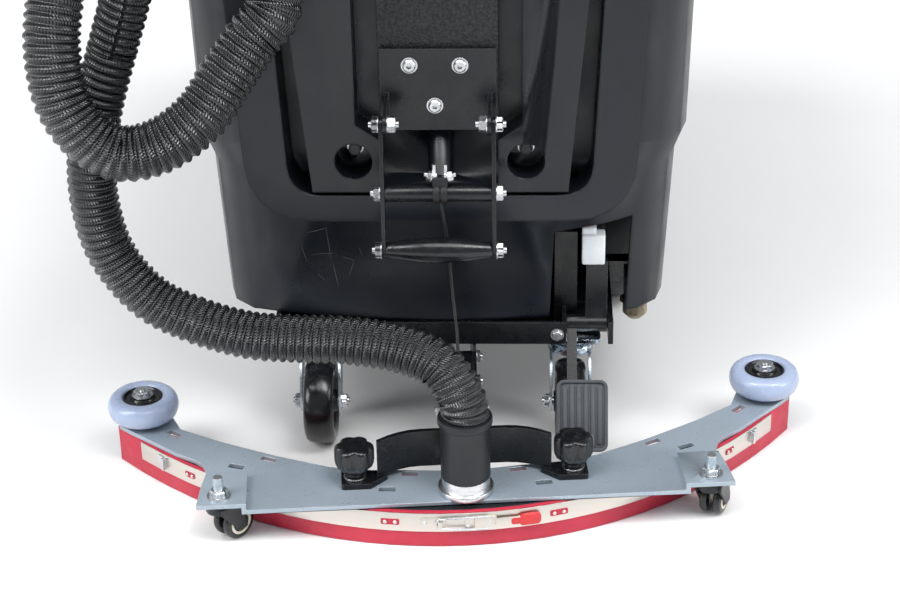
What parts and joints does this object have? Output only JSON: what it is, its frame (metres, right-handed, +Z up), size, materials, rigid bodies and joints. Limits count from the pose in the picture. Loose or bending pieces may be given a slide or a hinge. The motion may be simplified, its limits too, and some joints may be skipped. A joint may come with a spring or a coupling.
{
  "type": "wet dry floor scrubber",
  "caption": "Walk-behind floor scrubber: disc brush at the front, curved suction squeegee on a lift linkage behind, batteries, clean and dirty water tanks, drain hose and pedal",
  "frame": {"origin": "on the floor under the middle of the machine's outline, hoses left out", "axes": "+Y is the direction of travel, +X the operator's right, +Z up"},
  "size_m": [0.8104, 1.1934, 0.9987],
  "materials": {
    "body_black": "satin",
    "coated_steel_black": "satin",
    "coated_plate_grey": "satin",
    "carrier_black": "satin",
    "zinc": "satin",
    "stainless": "satin",
    "alloy": "satin",
    "cast_alloy_black": "matte",
    "red_rubber": "matte",
    "black_rubber": "matte",
    "grey_rubber": "matte",
    "pale_tread": "satin",
    "tank_grey": "satin",
    "red_plastic": "gloss",
    "brass": "satin",
    "bristle_blue": "matte",
    "battery_grey": "matte"
  },
  "bodies": {
    "machine": {"chassis_frame": "coated_steel_black", "solution_tank": "body_black", "rear_column": "body_black", "column_panel": "body_black", "lift_bracket": "coated_steel_black", "battery_left": "battery_grey", "battery_right": "battery_grey", "recovery_tank": "tank_grey", "console_housing": "body_black", "handle_bar": "coated_steel_black", "vacuum_motor": "alloy", "caster_plate_left": "zinc", "caster_plate_right": "zinc", "suction_hose": "black_rubber", "drain_hose": "black_rubber", "lift_cable": "zinc", "drain_cap": "body_black"},
    "lid": {"tank_lid": "tank_grey"},
    "bail": {"drive_bail": "red_plastic"},
    "key": {"key": "zinc"},
    "brush_switch": {"switch_brush": "body_black"},
    "vacuum_switch": {"switch_vacuum": "body_black"},
    "stop": {"stop_button": "red_plastic"},
    "deck": {"brush_deck": "cast_alloy_black", "brush_motor": "cast_alloy_black", "splash_skirt": "black_rubber"},
    "brush": {"brush": "bristle_blue"},
    "pedal": {"pedal_lever": "coated_steel_black", "pedal_pad": "grey_rubber"},
    "wheel_left": {"wheel_left": "black_rubber"},
    "wheel_right": {"wheel_right": "black_rubber"},
    "caster_left": {"caster_fork_left": "zinc"},
    "caster_roller_left": {"caster_wheel_left": "black_rubber"},
    "caster_right": {"caster_fork_right": "zinc"},
    "caster_roller_right": {"caster_wheel_right": "black_rubber"},
    "swing": {"swing_arm": "coated_steel_black"},
    "lever": {"lever_arm_left": "coated_steel_black", "lever_arm_right": "coated_steel_black", "lever_crossbar": "coated_steel_black"},
    "grip": {"lever_grip": "body_black"},
    "upper_link": {"upper_link": "coated_steel_black"},
    "lower_link": {"lower_link": "coated_steel_black"},
    "squeegee": {"squeegee_bracket": "coated_steel_black", "squeegee_plate": "coated_plate_grey", "blade_carrier": "carrier_black", "rear_blade": "red_rubber", "front_blade": "red_rubber", "blade_strap": "stainless", "suction_port": "alloy", "hose_cuff": "black_rubber"},
    "latch": {"strap_latch": "stainless"},
    "bumper_left": {"bumper_wheel_left": "pale_tread"},
    "bumper_right": {"bumper_wheel_right": "pale_tread"},
    "stem_left": {"stem_caster_left": "body_black"},
    "stem_roller_left": {"stem_wheel_left": "black_rubber"},
    "stem_right": {"stem_caster_right": "body_black"},
    "stem_roller_right": {"stem_wheel_right": "black_rubber"},
    "knob_left": {"star_knob_left": "body_black"},
    "knob_right": {"star_knob_right": "body_black"},
    "drain": {"drain_cock": "brass"}
  },
  "joints": [
    {"name": "lid_hinge", "type": "hinge", "parent": "machine", "child": "lid", "pos_m": [-0.0123, 0.4255, 0.8606], "axis": [-1, 0, 0], "range_deg": [0, 80]},
    {"name": "bail_pivot", "type": "hinge", "parent": "machine", "child": "bail", "pos_m": [-0.0123, -0.4545, 0.93], "axis": [-1, 0, 0], "range_deg": [0, 24], "stiffness_Nm_per_rad": 0.5, "springref_deg": -11.46},
    {"name": "key_turn", "type": "hinge", "parent": "machine", "child": "key", "pos_m": [-0.1073, -0.3885, 0.965], "axis": [0, 0, 1], "range_deg": [0, 90]},
    {"name": "brush_switch_rock", "type": "hinge", "parent": "machine", "child": "brush_switch", "pos_m": [-0.0473, -0.3885, 0.965], "axis": [-1, 0, 0], "range_deg": [0, 16]},
    {"name": "vacuum_switch_rock", "type": "hinge", "parent": "machine", "child": "vacuum_switch", "pos_m": [0.0077, -0.3885, 0.965], "axis": [-1, 0, 0], "range_deg": [0, 16]},
    {"name": "stop_push", "type": "slide", "parent": "machine", "child": "stop", "axis": [0, 0, -1], "range_m": [0, 0.005]},
    {"name": "deck_lift", "type": "slide", "parent": "machine", "child": "deck", "axis": [0, 0, 1], "range_m": [-0.035, 0]},
    {"name": "brush_spin", "type": "hinge", "parent": "deck", "child": "brush", "pos_m": [-0.0123, 0.3315, 0.04], "axis": [0, 0, 1], "continuous": true},
    {"name": "pedal_pivot", "type": "hinge", "parent": "machine", "child": "pedal", "pos_m": [0.1487, -0.3485, 0.146], "axis": [-1, 0, 0], "range_deg": [0, 30.2]},
    {"name": "wheel_left_spin", "type": "hinge", "parent": "machine", "child": "wheel_left", "pos_m": [-0.2203, 0.0265, 0.1], "axis": [1, 0, 0], "continuous": true},
    {"name": "wheel_right_spin", "type": "hinge", "parent": "machine", "child": "wheel_right", "pos_m": [0.1957, 0.0265, 0.1], "axis": [1, 0, 0], "continuous": true},
    {"name": "caster_left_swivel", "type": "hinge", "parent": "machine", "child": "caster_left", "pos_m": [-0.1553, -0.3335, 0.11], "axis": [0, 0, 1], "continuous": true},
    {"name": "caster_left_spin", "type": "hinge", "parent": "caster_left", "child": "caster_roller_left", "pos_m": [-0.1553, -0.3585, 0.05], "axis": [1, 0, 0], "continuous": true},
    {"name": "caster_right_swivel", "type": "hinge", "parent": "machine", "child": "caster_right", "pos_m": [0.1307, -0.3335, 0.11], "axis": [0, 0, 1], "continuous": true},
    {"name": "caster_right_spin", "type": "hinge", "parent": "caster_right", "child": "caster_roller_right", "pos_m": [0.1307, -0.3585, 0.05], "axis": [1, 0, 0], "continuous": true},
    {"name": "squeegee_swing", "type": "hinge", "parent": "machine", "child": "swing", "pos_m": [-0.0123, -0.2345, 0.115], "axis": [0, 0, 1], "range_deg": [-12.8, 2.3]},
    {"name": "lever_pivot", "type": "hinge", "parent": "machine", "child": "lever", "pos_m": [-0.0123, -0.4185, 0.418], "axis": [-1, 0, 0], "range_deg": [0, 150]},
    {"name": "grip_spin", "type": "hinge", "parent": "lever", "child": "grip", "pos_m": [-0.0123, -0.4285, 0.277], "axis": [1, 0, 0], "continuous": true},
    {"name": "upper_link_pivot", "type": "hinge", "parent": "swing", "child": "upper_link", "pos_m": [0, -0.36793, 0.112], "axis": [-0.9958, -0.0918, 0], "range_deg": [0, 37.5]},
    {"name": "lower_link_pivot", "type": "hinge", "parent": "swing", "child": "lower_link", "pos_m": [0, -0.36793, 0.08], "axis": [-0.9958, -0.0918, 0], "range_deg": [0, 37.5]},
    {"name": "squeegee_level", "type": "hinge", "parent": "upper_link", "child": "squeegee", "pos_m": [0.01055, -0.48245, 0.112], "axis": [0.9958, 0.0918, 0], "range_deg": [0, 37.5], "deforming": ["suction_hose", "lift_cable"]},
    {"name": "latch_pivot", "type": "hinge", "parent": "squeegee", "child": "latch", "pos_m": [0.03192, -0.58357, 0.032], "axis": [0, 0, -1], "range_deg": [0, 100]},
    {"name": "bumper_left_spin", "type": "hinge", "parent": "squeegee", "child": "bumper_left", "pos_m": [-0.35351, -0.40051, 0.068], "axis": [0, 0, 1], "continuous": true},
    {"name": "bumper_right_spin", "type": "hinge", "parent": "squeegee", "child": "bumper_right", "pos_m": [0.3535, -0.33536, 0.068], "axis": [0, 0, 1], "continuous": true},
    {"name": "stem_left_swivel", "type": "hinge", "parent": "squeegee", "child": "stem_left", "pos_m": [-0.24529, -0.5723, 0.045], "axis": [0, 0, 1], "continuous": true},
    {"name": "stem_left_spin", "type": "hinge", "parent": "stem_left", "child": "stem_roller_left", "pos_m": [-0.23378, -0.55846, 0.02], "axis": [-0.769, 0.6392, 0], "continuous": true},
    {"name": "stem_right_swivel", "type": "hinge", "parent": "squeegee", "child": "stem_right", "pos_m": [0.2785, -0.52404, 0.045], "axis": [0, 0, 1], "continuous": true},
    {"name": "stem_right_spin", "type": "hinge", "parent": "stem_right", "child": "stem_roller_right", "pos_m": [0.28545, -0.50744, 0.02], "axis": [-0.9223, 0.3865, 0], "continuous": true},
    {"name": "knob_left_turn", "type": "hinge", "parent": "squeegee", "child": "knob_left", "pos_m": [-0.10356, -0.53012, 0.07], "axis": [0, 0, 1], "continuous": true},
    {"name": "knob_right_turn", "type": "hinge", "parent": "squeegee", "child": "knob_right", "pos_m": [0.13145, -0.50847, 0.07], "axis": [0, 0, 1], "continuous": true},
    {"name": "drain_turn", "type": "hinge", "parent": "machine", "child": "drain", "pos_m": [0.2047, -0.3085, 0.145], "axis": [0, 0, 1], "continuous": true}
  ],
  "couplings": [
    {"joint": "pedal_pivot", "follows": "deck_lift", "rad_per_m": -15},
    {"joint": "upper_link_pivot", "follows": "lever_pivot", "ratio": 0.25},
    {"joint": "lower_link_pivot", "follows": "lever_pivot", "ratio": 0.25},
    {"joint": "squeegee_level", "follows": "lever_pivot", "ratio": 0.25}
  ]
}
